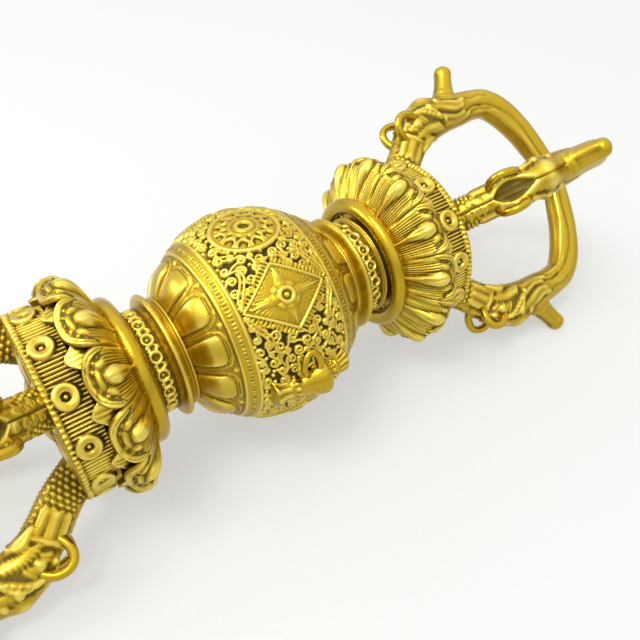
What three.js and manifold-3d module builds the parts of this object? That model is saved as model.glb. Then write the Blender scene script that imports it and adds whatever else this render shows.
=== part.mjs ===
// A cast brass vajra with four makara-headed prongs at each end, lying on the tips of its four lower horns.
// Millimetres. X runs along the shaft, Z is up, and the origin lies on the floor below the globe's centre.
import * as THREE from 'three';
import { mergeVertices } from 'three/addons/utils/BufferGeometryUtils.js';
import Module from 'manifold-3d';

const wasm = await Module();
wasm.setup();

// Globe between the two collars
const GLOBE_RADIUS = 30;
const GLOBE_HALF_LENGTH = 28.8;
const CAP_LINE_AT = 16.7;
const CAP_BAND_WIDTH = 3.6;
const CAP_BAND_HEIGHT = 0.5;
const PETAL_COUNT = 12;
const PETAL_SWELL = 1.1;

// Neck, with a thin ring, a keeled collar, a row of bosses and a ridge
const NECK_RADIUS = 13.6;
const THIN_RING_WIDTH = 1.6;
const THIN_RING_HEIGHT = 1.8;
const COLLAR_WIDTH = 4.4;
const COLLAR_HEIGHT = 3.8;
const BOSS_COUNT = 18;
const BOSS_BAND_WIDTH = 3.4;
const BOSS_HEIGHT = 0.9;
const RIDGE_WIDTH = 1;
const RIDGE_HEIGHT = 1.6;
const RECESS_WIDTH = 2.4;

// Plain round ring that closes the crown towards the neck
const RING_RADIUS = 18.3;
const RING_WIRE_RADIUS = 2.35;

// Crown of turned-over leaves
const LEAF_COUNT = 12;
const CROWN_LENGTH = 11.3;
const CROWN_RADIUS = 29.6;
const LEAF_FLUTE_DEPTH = 2;

// Ribbed band with rosettes, its rim and the end face
const BAND_LENGTH = 8.8;
const BAND_RADIUS = 24.5;
const RIM_WIDTH = 1.2;
const RIM_HEIGHT = 0.8;
const ROSETTE_RADIUS = 3.2;
const ROSETTE_HEIGHT = 1;
const ROSETTE_SET_BACK = 4.2;
const END_BOSS_RADIUS = 9;
const END_BOSS_HEIGHT = 3.5;

// Medallions around the globe's waist
const MEDALLION_COUNT = 8;
const MEDALLION_HEIGHT = 1;
const WHEEL_RADIUS = 9.8;
const LOZENGE_HALF_LENGTH = 12.4;
const LOZENGE_HALF_WIDTH = 9.6;
const VASE_LENGTH = 25;
const VASE_RADIUS = 4.8;
const VASE_RISE = 1.2;

// Outer prongs: how far they reach past the end face, and how far their centre line spreads from the axis
const PRONG_COUNT = 4;
const PRONG_REACH = 64.6;
const PRONG_SPREAD = 34.8;
const PRONG_HALF_DEPTH = 5.4;
const PRONG_HALF_WIDTH = 4.6;

// Horn on each head, the pair of wire loops behind it, and the flat where a lower horn meets the floor
const HORN_LENGTH = 14;
const HORN_HALF_THICKNESS = 3;
const HORN_HALF_WIDTH = 3.3;
const LOOP_WIRE_RADIUS = 1.15;
const LOOP_SIZE = 3;
const LOOP_SIDE = 4.8;
const LOOP_LIFT = 8.4;
const FLAT_DEPTH = 0.8;

// Slender centre prong and its bud
const CENTRE_PRONG_RADIUS = 2.4;
const BUD_RADIUS = 4.8;
const BUD_LENGTH = 9;
const BUD_REACH = 76;

// Fineness of the faceted form
const ROUND_STEPS = 36;
const PRONG_SIDES = 8;
const PRONG_STEPS = 14;
const HORN_SIDES = 6;
const HORN_STEPS = 3;
const WIRE_SIDES = 4;
const WIRE_STEPS = 5;
const WHEEL_SIDES = 12;
const LOZENGE_SIDES = 4;
const QUARTER = Math.PI / 2;

// Places along the shaft, each counted on from the one before it
const GLOBE_END = GLOBE_HALF_LENGTH * Math.sqrt(1 - (NECK_RADIUS / GLOBE_RADIUS) ** 2);
const COLLAR_START = GLOBE_END + THIN_RING_WIDTH;
const COLLAR_END = COLLAR_START + COLLAR_WIDTH;
const RIDGE_START = COLLAR_END + BOSS_BAND_WIDTH;
const RECESS_START = RIDGE_START + RIDGE_WIDTH;
const RING_AT = RECESS_START + RECESS_WIDTH;
const CROWN_START = RING_AT + RING_WIRE_RADIUS;
const BAND_START = CROWN_START + CROWN_LENGTH;
const FACE_AT = BAND_START + BAND_LENGTH;

function globeRadiusAt(x) {
  return GLOBE_RADIUS * Math.sqrt(Math.max(0, 1 - (x / GLOBE_HALF_LENGTH) ** 2));
}

// Turns a profile of (distance along the shaft, radius) points round the X axis
function turned(profile, steps) {
  const points = profile.map(([x, radius]) => new THREE.Vector2(radius, x));
  const geometry = new THREE.LatheGeometry(points, steps);
  geometry.rotateZ(-QUARTER);
  return geometry;
}

// Makes a closed solid from a geometry whose shared vertices are merged
function solidFrom(geometry) {
  const bare = geometry.clone();
  bare.deleteAttribute('normal');
  bare.deleteAttribute('uv');
  const merged = mergeVertices(bare, 1e-5);
  const index = merged.index.array;
  const triangles = [];
  for (let i = 0; i < index.length; i += 3) {
    const [a, b, c] = [index[i], index[i + 1], index[i + 2]];
    if (a !== b && b !== c && c !== a) {
      triangles.push(a, b, c);
    }
  }
  return new wasm.Manifold(new wasm.Mesh({
    numProp: 3,
    vertProperties: new Float32Array(merged.attributes.position.array),
    triVerts: new Uint32Array(triangles),
  }));
}

function geometryFrom(solid) {
  const mesh = solid.getMesh();
  const geometry = new THREE.BufferGeometry();
  geometry.setAttribute('position', new THREE.BufferAttribute(new Float32Array(mesh.vertProperties), 3));
  geometry.setIndex(new THREE.BufferAttribute(new Uint32Array(mesh.triVerts), 1));
  geometry.computeVertexNormals();
  return geometry;
}

function movePoints(geometry, move) {
  const position = geometry.attributes.position;
  const point = new THREE.Vector3();
  for (let i = 0; i < position.count; i += 1) {
    point.fromBufferAttribute(position, i);
    move(point);
    position.setXYZ(i, point.x, point.y, point.z);
  }
  return geometry;
}

// Round lobes around the shaft: 1 on a lobe's crest, 0 in the groove between two
function lobes(angle, count, crestAt) {
  return Math.abs(Math.cos((count * (angle - crestAt)) / 2));
}

// 1 in the middle of a stretch, falling to 0 at both its ends
function swell(x, start, end) {
  const share = (x - start) / (end - start);
  return share > 0 && share < 1 ? Math.sin(Math.PI * share) : 0;
}

function globeProfile() {
  const bandEnd = CAP_LINE_AT - CAP_BAND_WIDTH;
  const petalStart = CAP_LINE_AT + CAP_BAND_HEIGHT;
  const points = [0, bandEnd / 2, bandEnd].map((x) => [x, globeRadiusAt(x)]);
  points.push([bandEnd, globeRadiusAt(bandEnd) + CAP_BAND_HEIGHT]);
  points.push([CAP_LINE_AT, globeRadiusAt(CAP_LINE_AT) + CAP_BAND_HEIGHT]);
  for (const share of [0, 0.35, 0.7]) {
    const x = petalStart + (GLOBE_END - petalStart) * share;
    points.push([x, globeRadiusAt(x)]);
  }
  return points;
}

function neckProfile() {
  const keel = NECK_RADIUS + COLLAR_HEIGHT;
  return [
    [GLOBE_END, NECK_RADIUS],
    [GLOBE_END + THIN_RING_WIDTH / 2, NECK_RADIUS + THIN_RING_HEIGHT],
    [COLLAR_START, NECK_RADIUS + COLLAR_HEIGHT / 3],
    [COLLAR_START + COLLAR_WIDTH / 3, keel],
    [COLLAR_END - COLLAR_WIDTH / 3, keel],
    [COLLAR_END, NECK_RADIUS],
    [COLLAR_END + BOSS_BAND_WIDTH / 2, NECK_RADIUS],
    [RIDGE_START, NECK_RADIUS],
    [RIDGE_START + RIDGE_WIDTH / 2, NECK_RADIUS + RIDGE_HEIGHT],
    [RING_AT, NECK_RADIUS],
  ];
}

// The ring's round section, from its inner side over its front and crest to the crown
function ringProfile() {
  const points = [];
  for (const turn of [-90, -170, 130, 70, 10]) {
    const angle = THREE.MathUtils.degToRad(turn);
    points.push([
      RING_AT + RING_WIRE_RADIUS * Math.cos(angle),
      RING_RADIUS + RING_WIRE_RADIUS * Math.sin(angle),
    ]);
  }
  return points;
}

function crownProfile() {
  const lift = CROWN_RADIUS - RING_RADIUS;
  const rise = [[0.16, 0.36], [0.4, 0.7], [0.66, 0.9], [0.85, 0.97], [0.99, 0.95]];
  return rise.map(([along, out]) => [CROWN_START + CROWN_LENGTH * along, RING_RADIUS + lift * out]);
}

function bandProfile() {
  const rimStart = FACE_AT - RIM_WIDTH;
  return [
    [BAND_START, BAND_RADIUS],
    [rimStart, BAND_RADIUS],
    [rimStart, BAND_RADIUS + RIM_HEIGHT],
    [FACE_AT, BAND_RADIUS + RIM_HEIGHT],
    [FACE_AT, END_BOSS_RADIUS],
    [FACE_AT + END_BOSS_HEIGHT, 0],
  ];
}

// Globe, necks, rings, crowns and bands: one turned body whose petals, bosses and leaves swell around it
function shaft() {
  const half = [...globeProfile(), ...neckProfile(), ...ringProfile(), ...crownProfile(), ...bandProfile()];
  const mirrored = half.slice(1).reverse().map(([x, radius]) => [-x, radius]);
  const halfLobe = Math.PI / LEAF_COUNT;
  return movePoints(turned([...mirrored, ...half], ROUND_STEPS), (point) => {
    const radius = Math.hypot(point.y, point.z);
    if (radius < NECK_RADIUS / 2) {
      return;
    }
    const x = Math.abs(point.x);
    const angle = Math.atan2(point.z, -point.y);
    const petal = swell(x, CAP_LINE_AT, GLOBE_END) * lobes(angle, PETAL_COUNT, 0);
    const boss = swell(x, COLLAR_END, RIDGE_START) * lobes(angle, BOSS_COUNT, Math.PI / BOSS_COUNT);
    const valley = swell(x, CROWN_START, BAND_START) * (1 - lobes(angle, LEAF_COUNT, halfLobe));
    const change = PETAL_SWELL * petal + BOSS_HEIGHT * boss - LEAF_FLUTE_DEPTH * valley;
    const scale = (radius + change) / radius;
    point.y *= scale;
    point.z *= scale;
  });
}

// Turns a solid that stands at the top of the shaft round to an angle, counted from the near side upwards
function around(solid, angle) {
  return solid.rotate([90 - THREE.MathUtils.radToDeg(angle), 0, 0]);
}

// A rosette on the band: a raised ring with a sunk centre
function rosette() {
  const profile = [
    [-ROSETTE_HEIGHT, 0],
    [-ROSETTE_HEIGHT, ROSETTE_RADIUS],
    [ROSETTE_HEIGHT, ROSETTE_RADIUS * 0.88],
    [ROSETTE_HEIGHT * 0.1, 0],
  ];
  const disc = turned(profile, PRONG_SIDES);
  disc.rotateY(-QUARTER);
  disc.translate(FACE_AT - ROSETTE_SET_BACK, 0, BAND_RADIUS);
  return solidFrom(disc);
}

// Lays a flat medallion, modelled around the Z axis, onto the globe's curve
function ontoGlobe(geometry) {
  return movePoints(geometry, (point) => {
    const x = GLOBE_HALF_LENGTH * Math.sin(point.x / GLOBE_HALF_LENGTH);
    const height = globeRadiusAt(x) + point.z;
    const angle = point.y / GLOBE_RADIUS;
    point.set(x, height * Math.sin(angle), height * Math.cos(angle));
  });
}

function medallionDisc(halfLength, halfWidth, sides) {
  const profile = [
    [-MEDALLION_HEIGHT * 2, 0],
    [-MEDALLION_HEIGHT * 2, 1],
    [MEDALLION_HEIGHT, 1],
    [MEDALLION_HEIGHT, 0.84],
    [MEDALLION_HEIGHT * 0.5, 0.8],
    [MEDALLION_HEIGHT * 0.5, 0.34],
    [MEDALLION_HEIGHT * 1.2, 0.24],
    [MEDALLION_HEIGHT * 1.2, 0],
  ];
  const disc = turned(profile, sides);
  disc.rotateY(-QUARTER);
  disc.scale(halfLength, halfWidth, 1);
  return solidFrom(ontoGlobe(disc));
}

function wheelMedallion() {
  return medallionDisc(WHEEL_RADIUS, WHEEL_RADIUS, WHEEL_SIDES);
}

function lozengeMedallion() {
  return medallionDisc(LOZENGE_HALF_LENGTH, LOZENGE_HALF_WIDTH, LOZENGE_SIDES);
}

// A treasure vase lying along the globe: foot, plump body, collar and jewelled mouth
function vaseMedallion() {
  const outline = [
    [-0.5, 0], [-0.5, 0.6], [-0.4, 0.42], [-0.2, 0.95], [0.02, 1], [0.18, 0.5], [0.24, 0.72],
    [0.36, 0.45], [0.5, 0],
  ];
  const profile = outline.map(([along, out]) => [VASE_LENGTH * along, VASE_RADIUS * out]);
  const vase = turned(profile, PRONG_SIDES);
  movePoints(vase, (point) => {
    point.z += globeRadiusAt(point.x) - VASE_RISE;
  });
  return solidFrom(vase);
}

function prongPoint([reach, spread]) {
  return new THREE.Vector3(FACE_AT + PRONG_REACH * reach, 0, PRONG_SPREAD * spread);
}

// A bar that follows a path in or near the XZ plane, with an oval section that changes along it
function bar(path, sections, sides, steps) {
  const geometry = new THREE.CylinderGeometry(1, 1, 1, sides, steps);
  const across = new THREE.Vector3(0, -1, 0);
  return movePoints(geometry, (point) => {
    const along = THREE.MathUtils.clamp(point.y + 0.5, 0, 1);
    const tangent = path.getTangent(along);
    const normal = new THREE.Vector3().crossVectors(across, tangent).normalize();
    const side = new THREE.Vector3().crossVectors(tangent, normal);
    const size = sections.getPoint(along);
    const { x, z } = point;
    point.copy(path.getPoint(along));
    point.addScaledVector(side, x * size.y);
    point.addScaledVector(normal, z * size.x);
  });
}

function prongBody() {
  // Centre line: shares of the prong's reach past the end face and of its spread from the axis
  const line = [
    [-0.06, 0.46], [0.08, 0.62], [0.17, 0.77], [0.26, 0.92], [0.36, 0.96], [0.46, 0.985],
    [0.56, 0.975], [0.66, 0.965], [0.755, 0.92], [0.835, 0.775], [0.898, 0.565], [0.94, 0.335], [0.985, 0.06],
  ];
  // Half sizes of its section at the same stations: shares of its half depth and half width
  const section = [
    [1, 1.04], [1, 1.02], [1.04, 0.94], [1.26, 1.16], [1.22, 1.18], [1.16, 1.12],
    [1.08, 1.03], [0.98, 0.95], [0.96, 0.93], [0.95, 0.91], [0.9, 0.86], [0.82, 0.8], [0.7, 0.72],
  ];
  const path = new THREE.CatmullRomCurve3(line.map(prongPoint));
  const sections = new THREE.CatmullRomCurve3(section.map(([depth, width]) => (
    new THREE.Vector3(PRONG_HALF_DEPTH * depth, PRONG_HALF_WIDTH * width, 0)
  )));
  return solidFrom(bar(path, sections, PRONG_SIDES, PRONG_STEPS));
}

// The horn stands on the head's far end and leans outwards
function horn() {
  const foot = prongPoint([0.54, 0.99]);
  const shares = [[0, 0], [0.12, 0.5], [0.24, 0.86], [0.28, 0.98]];
  const path = new THREE.CatmullRomCurve3(shares.map(([lean, rise]) => (
    new THREE.Vector3(foot.x + HORN_LENGTH * lean, 0, foot.z + HORN_LENGTH * rise)
  )));
  const taper = [1.5, 1.2, 1, 0.8];
  const sizes = taper.map((share) => (
    new THREE.Vector3(HORN_HALF_THICKNESS * share, HORN_HALF_WIDTH * share, 0)
  ));
  return solidFrom(bar(path, new THREE.CatmullRomCurve3(sizes), HORN_SIDES, HORN_STEPS));
}

// One wire loop: out of the neck, round, and into the head. Its middle is counted from the prong's middle line
function wireLoop(side) {
  const centre = prongPoint([0.17, 0.77]);
  centre.z += LOOP_LIFT;
  const shares = [
    [0, 0.55, -2.1], [-0.8, 0.92, -1], [-0.85, 1, 0.3], [0.1, 1, 1.05], [1.2, 0.95, 0.7], [2.2, 0.7, -0.3],
  ];
  const path = new THREE.CatmullRomCurve3(shares.map(([along, out, up]) => (
    new THREE.Vector3(centre.x + LOOP_SIZE * along, side * LOOP_SIDE * out, centre.z + LOOP_SIZE * up)
  )));
  const wire = new THREE.Vector3(LOOP_WIRE_RADIUS, LOOP_WIRE_RADIUS, 0);
  const sections = new THREE.CatmullRomCurve3([wire, wire.clone()]);
  return solidFrom(bar(path, sections, WIRE_SIDES, WIRE_STEPS));
}

function prong() {
  return prongBody().add(horn()).add(wireLoop(1)).add(wireLoop(-1));
}

function centreProng() {
  const budStart = BUD_REACH - BUD_LENGTH;
  const profile = [
    [FACE_AT, 0],
    [FACE_AT, CENTRE_PRONG_RADIUS * 1.3],
    [FACE_AT + PRONG_REACH * 0.5, CENTRE_PRONG_RADIUS],
    [FACE_AT + budStart, CENTRE_PRONG_RADIUS],
    [FACE_AT + budStart + BUD_LENGTH * 0.45, BUD_RADIUS],
    [FACE_AT + budStart + BUD_LENGTH * 0.8, BUD_RADIUS * 0.75],
    [FACE_AT + BUD_REACH, 0],
  ];
  return solidFrom(turned(profile, PRONG_SIDES));
}

// Everything beyond one end face, and the rosettes on that end's band
function endWork() {
  let work = centreProng();
  for (let i = 0; i < PRONG_COUNT; i += 1) {
    work = work.add(around(prong(), (2 * Math.PI * (i + 0.5)) / PRONG_COUNT));
  }
  for (let i = 0; i < LEAF_COUNT; i += 1) {
    work = work.add(around(rosette(), (2 * Math.PI * (i + 0.5)) / LEAF_COUNT));
  }
  return work;
}

function medallion(i) {
  if (i % 4 === 2) {
    return wheelMedallion();
  }
  return i % 4 === 0 ? vaseMedallion() : lozengeMedallion();
}

function wholeVajra() {
  let vajra = solidFrom(shaft());
  for (let i = 0; i < MEDALLION_COUNT; i += 1) {
    vajra = vajra.add(around(medallion(i), (2 * Math.PI * i) / MEDALLION_COUNT));
  }
  const end = endWork();
  return vajra.add(end).add(end.rotate([0, 0, 180]));
}

// Lifts the vajra so that its lower horns meet the floor, and cuts their tips flat there
function onTheFloor(solid) {
  const lowest = solid.boundingBox().min[2];
  const lifted = solid.translate([0, 0, -lowest - FLAT_DEPTH]);
  const slab = new THREE.BoxGeometry(4 * BUD_REACH + 4 * FACE_AT, 8 * GLOBE_RADIUS, GLOBE_RADIUS);
  slab.translate(0, 0, -GLOBE_RADIUS / 2);
  return lifted.subtract(solidFrom(slab));
}

const brass = new THREE.MeshStandardMaterial({ color: 0xc99a1c, roughness: 0.38, metalness: 1 });
const vajra = new THREE.Mesh(geometryFrom(onTheFloor(wholeVajra())), brass);
vajra.name = 'vajra';

const group = new THREE.Group();
group.add(vajra);

export default group;
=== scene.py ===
"""A cast brass vajra with makara-headed prongs, lying on a pale floor.

The carving is drawn as height fields in millimetres on the unrolled skins of the casting, and laid
round the shaft or along a prong. Each point also carries how hollow it lies, for the patina, and painted
shade where parts overhang or meet.
"""
import math

import bmesh
import bpy
import numpy as np
from bpy.props import FloatProperty, FloatVectorProperty, IntProperty, PointerProperty
from mathutils import Matrix, Vector


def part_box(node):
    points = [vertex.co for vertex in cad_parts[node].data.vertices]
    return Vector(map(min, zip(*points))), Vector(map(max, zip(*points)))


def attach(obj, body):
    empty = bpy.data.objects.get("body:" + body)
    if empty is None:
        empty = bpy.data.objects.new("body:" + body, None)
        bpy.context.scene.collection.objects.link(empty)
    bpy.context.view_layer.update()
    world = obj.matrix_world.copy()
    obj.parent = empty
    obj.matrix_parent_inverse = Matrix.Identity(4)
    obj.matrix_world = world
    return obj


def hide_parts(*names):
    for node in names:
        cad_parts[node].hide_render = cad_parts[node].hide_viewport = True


bl_info = {
    "name": "Brass vajra",
    "version": (1, 0, 0),
    "blender": (4, 5, 0),
    "location": "View3D > Sidebar > Vajra",
    "description": "Models a cast brass vajra with carved globe, leaf crowns and makara prongs",
    "category": "Object",
}

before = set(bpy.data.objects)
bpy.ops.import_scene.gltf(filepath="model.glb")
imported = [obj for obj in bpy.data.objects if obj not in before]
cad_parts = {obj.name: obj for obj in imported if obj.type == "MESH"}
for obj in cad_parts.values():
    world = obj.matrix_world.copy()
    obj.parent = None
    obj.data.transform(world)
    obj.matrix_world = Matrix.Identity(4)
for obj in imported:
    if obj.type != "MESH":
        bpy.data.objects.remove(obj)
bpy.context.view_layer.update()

MM = 0.001
NODE = "vajra"
# Prongs spread alike up, down and sideways, so the shaft's height follows from the box's upper corner
HIGH = np.array(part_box(NODE)[1]) / MM
SHAFT_HEIGHT = HIGH[2] - HIGH[1]

# The casting's three states of finish: roughness of the metal, and how thick the patina and the painted shade
# lie
FINISHES = {"Brass, satin cast": (0.27, 0.8), "Brass, hand buffed": (0.19, 0.55),
            "Brass, deep carved": (0.3, 1.0)}
SATIN, BUFFED, CARVED = FINISHES

# Forms along the shaft, in millimetres from the globe's centre
GLOBE_HALF_LENGTH = 28.8
WAIST_END = 13.5
PETALS_START = 18.5
NECK_START = 31.6
RING_AT = 38.47
RING_RADIUS = 18.3
RING_WIRE = 2.35
BAND_AT = (51.6, 60.92)
BAND_RADIUS = 24.4
LEAVES = 12
PETALS = 12
BOSSES = 18
NECK_RADIUS = 13.6
BOSSES_AT = 33.2

# Medallions around the waist, counted from the near side; the far half repeats the near one
MEDALLION_ORDER = ("vase", "lozenge", "wheel", "lozenge") * 2
WAIST_RADIUS = 30.0
WHEEL_RADIUS = 9.8
# Half length and half width of a lozenge, which stands a little off the globe's middle
LOZENGE_HALF = 12.3
LOZENGE_WIDE = 9.6
LOZENGE_AT = -0.9
# The vases lie a little below the middle of their sectors
VASE_DROP = 2.6

# Soft boxes: place and size in metres, power in watts, and colour
LAMPS = {"key": ((-0.26, -0.06, 0.72), 0.34, 0.30, 3.5, (1.0, 1.0, 0.98)),
         "side": ((-0.75, 0.55, 0.42), 0.5, 0.4, 3.0, (1.0, 1.0, 1.0))}

# The photograph's side and focal length in pixels, and its camera: place in metres from the globe's middle,
# and the ways that point right, up and back in the picture
PHOTO_SIDE = 640
PHOTO_FOCUS = 680.66
CAMERA_PLACE = (-0.0653, -0.13232, 0.12778)
CAMERA_AXES = ((0.8185, -0.5738, -0.0285), (0.4016, 0.536, 0.7426), (-0.4108, -0.6193, 0.6691))


def clamp(value, low=0.0, high=1.0):
    """The value held between low and high."""
    return np.clip(value, low, high)


def ease(value, start, end):
    """0 before start, 1 after end, and a smooth step between them."""
    share = clamp((value - start) / (end - start))
    return share * share * (3 - 2 * share)


def bump(value, middle, half_width):
    """A rounded bar seen end on: 1 in its middle, 0 beyond its half width."""
    return np.sqrt(clamp(1 - ((value - middle) / half_width) ** 2))


def blurred(field, reach):
    """Averages a height field over a square window, closed across its columns."""
    rows, steps = np.arange(len(field)), range(-reach, reach + 1)
    field = sum(field[clamp(rows + step, 0, len(rows) - 1)] for step in steps)
    return sum(np.roll(field, step, axis=1) for step in steps) / len(steps) ** 2


def hollows(height, reach, depth):
    """How far each point lies under its neighbourhood, from -1 on a crest to 1 in a recess."""
    return clamp((blurred(blurred(height, reach), reach) - height) / depth, -1, 1)


def around(columns):
    """The angles of columns spread evenly once around."""
    return np.arange(columns) * 2 * math.pi / columns


def sector_share(turn, count):
    """Where a turn lies across its sector of the circle, from -1 to 1, with 0 in the middle of the sector."""
    return ((turn / (2 * math.pi) * count) % 1 - 0.5) * 2


def unit(vectors):
    """Rows of vectors, each made 1 long."""
    return vectors / np.linalg.norm(vectors, axis=1, keepdims=True)


def on_globe(run):
    """Where a run along the globe's skin ends: place along the shaft, and share of the globe's radius."""
    x = GLOBE_HALF_LENGTH * np.sin(run / GLOBE_HALF_LENGTH)
    return x, np.sqrt(1 - (x / GLOBE_HALF_LENGTH) ** 2)


def spline(points, steps):
    """A smooth curve through points, as an array of points."""
    knots = np.asarray(points, float)
    knots = np.vstack([2 * knots[0] - knots[1], knots, 2 * knots[-1] - knots[-2]])
    share = np.linspace(0, 1, steps, endpoint=False)[:, None]
    curve = []
    for i in range(1, len(knots) - 2):
        a, b, c, d = knots[i - 1:i + 3]
        curve.append(0.5 * (2 * b + (c - a) * share + (2 * a - 5 * b + 4 * c - d) * share ** 2
                            + (3 * b - a - 3 * c + d) * share ** 3))
    return np.vstack(curve + [knots[-2:-1]])


def spread_evenly(curve, count, axes=2):
    """Points at equal distances along a curve, measured in its first axes, and how far along each lies."""
    run = np.append(0, np.cumsum(np.linalg.norm(np.diff(curve[:, :axes], axis=0), axis=1)))
    places = np.linspace(0, run[-1], count)
    return resampled(curve, run, places), places


def resampled(curve, run, places):
    """Points at places along a curve whose own points lie at run."""
    return np.stack([np.interp(places, run, column) for column in curve.T], 1)


class Relief:
    """A height field in mm on an unrolled skin, rows along it and columns once around it."""

    def __init__(self, along, columns, girth, ground=0.0):
        self.along = np.asarray(along, float)
        self.columns = columns
        self.step = girth / columns
        self.girth = girth
        self.across = np.arange(columns) * self.step
        self.height = np.full((len(along), columns), float(ground))
        # Painted shade added on top of how hollow each point lies; none unless a carving sets it
        self.painted_shade = 0.0

    def grid(self):
        """Where each point of the skin lies, along it and across it."""
        return np.meshgrid(self.along, self.across, indexing="ij")

    def window(self, low, high):
        """The part of the skin between two corners: its index, and its places along and across."""
        rows = np.arange(*np.searchsorted(self.along, [low[0], high[0]]))
        columns = np.arange(math.floor(low[1] / self.step), math.ceil(high[1] / self.step) + 1)
        along, across = self.along[rows][:, None], (columns * self.step)[None, :]
        return np.ix_(rows, columns % self.columns), along, across

    def bar(self, points, width, height, base, cut=False):
        """A rounded bar along points, raised from base, or a groove cut along them."""
        points = np.asarray(points, float)
        width, height = np.broadcast_to(width, len(points)), np.broadcast_to(height, len(points))
        reach = width.max()
        place, along, across = self.window(points.min(0) - reach, points.max(0) + reach)
        if place[0].size == 0:
            return
        best = np.full((place[0].size, place[1].size), -9.0)
        for a, b, wide, wide_next, tall in zip(points, points[1:], width, width[1:], height):
            run = b - a
            share = clamp(((along - a[0]) * run[0] + (across - a[1]) * run[1]) / max(run @ run, 1e-9))
            far = np.hypot(along - a[0] - share * run[0], across - a[1] - share * run[1])
            local = wide + (wide_next - wide) * share
            rise = tall * np.sqrt(clamp(1 - (far / np.maximum(local, 1e-6)) ** 2))
            best = np.where(far < local, np.maximum(best, rise), best)
        old = self.height[place]
        new = old - best if cut else np.maximum(old, base + best)
        self.height[place] = np.where(best > -9, new, old)

    def ball(self, centre, radius, height, base):
        """A round bead, raised from base."""
        place, along, across = self.window(np.array(centre) - radius, np.array(centre) + radius)
        if place[0].size:
            far = np.hypot(along - centre[0], across - centre[1]) / radius
            dome = base + height * np.sqrt(clamp(1 - far ** 2))
            self.height[place] = np.where(far < 1, np.maximum(self.height[place], dome), self.height[place])


def curl(centre, size, heading, hand, turns=1.35):
    """A spiral that winds in from its rim, as points of (along, across)."""
    share = np.linspace(0, 1, 16)
    angle = heading + hand * turns * 2 * math.pi * share
    radius = size * (1 - 0.8 * share)
    return np.stack([centre[0] + radius * np.cos(angle), centre[1] + radius * np.sin(angle)], 1)


def cloud(relief, centre, size, heading, hand, base, width=0.36, height=0.62):
    """A cloud scroll: a curl whose stem swings out on the other side."""
    winding = curl(centre, size, heading, hand)
    start, out = winding[0], winding[0] - winding[1]
    out /= np.linalg.norm(out)
    normal = (start - np.asarray(centre)) / size
    stem = [start + out * size * 0.75 * k + normal * size * 0.42 * k * k for k in (1.7, 1.1, 0.55)]
    relief.bar(np.vstack([stem, winding]), width, height, base)


# The signs of a medallion's four quarters, along and across
QUARTERS = [(end, side) for end in (-1, 1) for side in (-1, 1)]


def draw_wheel(relief, middle):
    """A wheel with a roped rim, arched windows between its spokes, and a hollow hub."""
    size = WHEEL_RADIUS
    place, along, across = relief.window((-size, middle - size), (size, middle + size))
    far = np.hypot(along, across - middle)
    turn = np.arctan2(across - middle, along)
    plate = 0.45 + 0.3 * bump(far, 9.15, 0.62) * (0.6 + 0.4 * np.cos(64 * turn))
    plate -= 0.22 * bump(far, 8.35, 0.26)
    windows = 12
    part = (turn * windows / (2 * math.pi) + 0.5) % 1 - 0.5
    pitch = 2 * math.pi * far / windows
    arch = np.hypot(part * pitch / 1.3, np.maximum(7.6 - far, 0) / 1.75)
    plate = np.where((arch < 1) & (far < 7.9), -0.05 + 0.35 * bump(arch, 0, 0.62) * (far > 6.6), plate)
    plate += 0.15 * bump(arch, 1.17, 0.17) * (far < 8.0)
    # A hollow at the foot of each spoke, half a window over
    nook = np.hypot(((part + 1) % 1 - 0.5) * pitch / 0.62, (far - 5.2) / 1.05)
    plate -= 0.4 * ease(nook, 1.05, 0.7)
    plate += 0.12 * bump(far, 3.75, 0.35) - 0.2 * bump(far, 3.15, 0.25)
    plate += 0.22 * bump(far, 2.1, 0.55) - 0.5 * ease(far, 1.5, 1.2)
    relief.height[place] = np.where(far < size, plate, relief.height[place])


def draw_lozenge(relief, middle):
    """A lozenge with a flat border, rays fanning from a rosette, and roped edges outside it."""
    half, wide = LOZENGE_HALF, LOZENGE_WIDE
    place, along, across = relief.window((LOZENGE_AT - half, middle - wide),
                                         (LOZENGE_AT + half, middle + wide))
    along, off = along - LOZENGE_AT, across - middle
    edge = (1 - np.abs(along) / half - np.abs(off) / wide) * half * wide / math.hypot(half, wide)
    far = np.hypot(along, off)
    turn = np.arctan2(off, along)
    plate = 0.3 + 0.12 * np.cos(52 * turn) * ease(far, 3.2, 4.4)
    spoke = np.minimum(np.abs(along) / 1.15, np.abs(off))
    reach = np.abs(along) / (half * 0.86) + np.abs(off) / (wide * 0.86)
    blade = clamp(1 - spoke / (3.0 * clamp(1 - reach) + 0.02))
    plate += 0.3 * np.sqrt(blade) * ease(far, 2.0, 3.0)
    plate = np.maximum(plate, 0.5 + 0.25 * np.abs(np.cos(4 * turn)) - 0.6 * ease(far, 3.3, 4.2))
    plate = np.where(far < 2.5, 0.6 + 0.5 * bump(far, 1.8, 0.62), plate)
    plate = np.where(far < 1.15, 0.45 + 0.7 * bump(far, 0, 0.85), plate)
    border = 0.8 * ease(edge, 0.0, 0.2) * ease(edge, 0.95, 0.75) + 0.42 * bump(edge, 1.25, 0.2)
    plate = np.where(edge < 1.45, np.maximum(border, 0.12), plate)
    relief.height[place] = np.where(edge > 0, plate, relief.height[place])
    for end, side in QUARTERS:
        start = (LOZENGE_AT + end * half * 0.96, middle + side * 1.4)
        stop = (LOZENGE_AT + end, middle + side * (wide + 0.3))
        slant = np.array([0.38, 0.42 * side * end])
        for at in np.linspace(start, stop, 14):
            relief.bar([at - slant, at + slant], 0.46, 0.5, 0.0)


def draw_ribbons(relief, middle):
    """Pairs of ribbons that leave a lozenge's end corners and sweep towards the next medallion."""
    for end, side in QUARTERS:
        for gap in (0, 1.05):
            path = [(12.7 - gap * 0.3, 1.0), (12.2 - gap, 4.0 - gap * 0.4), (10.4 - gap, 6.8 - gap * 0.3),
                    (9.2 - gap, 9.2 - gap * 0.2), (9.4 - gap, 10.6)]
            relief.bar(spline(np.array(path) * (end, side) + (0, middle), 7), 0.42, 0.62, 0.0)


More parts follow.
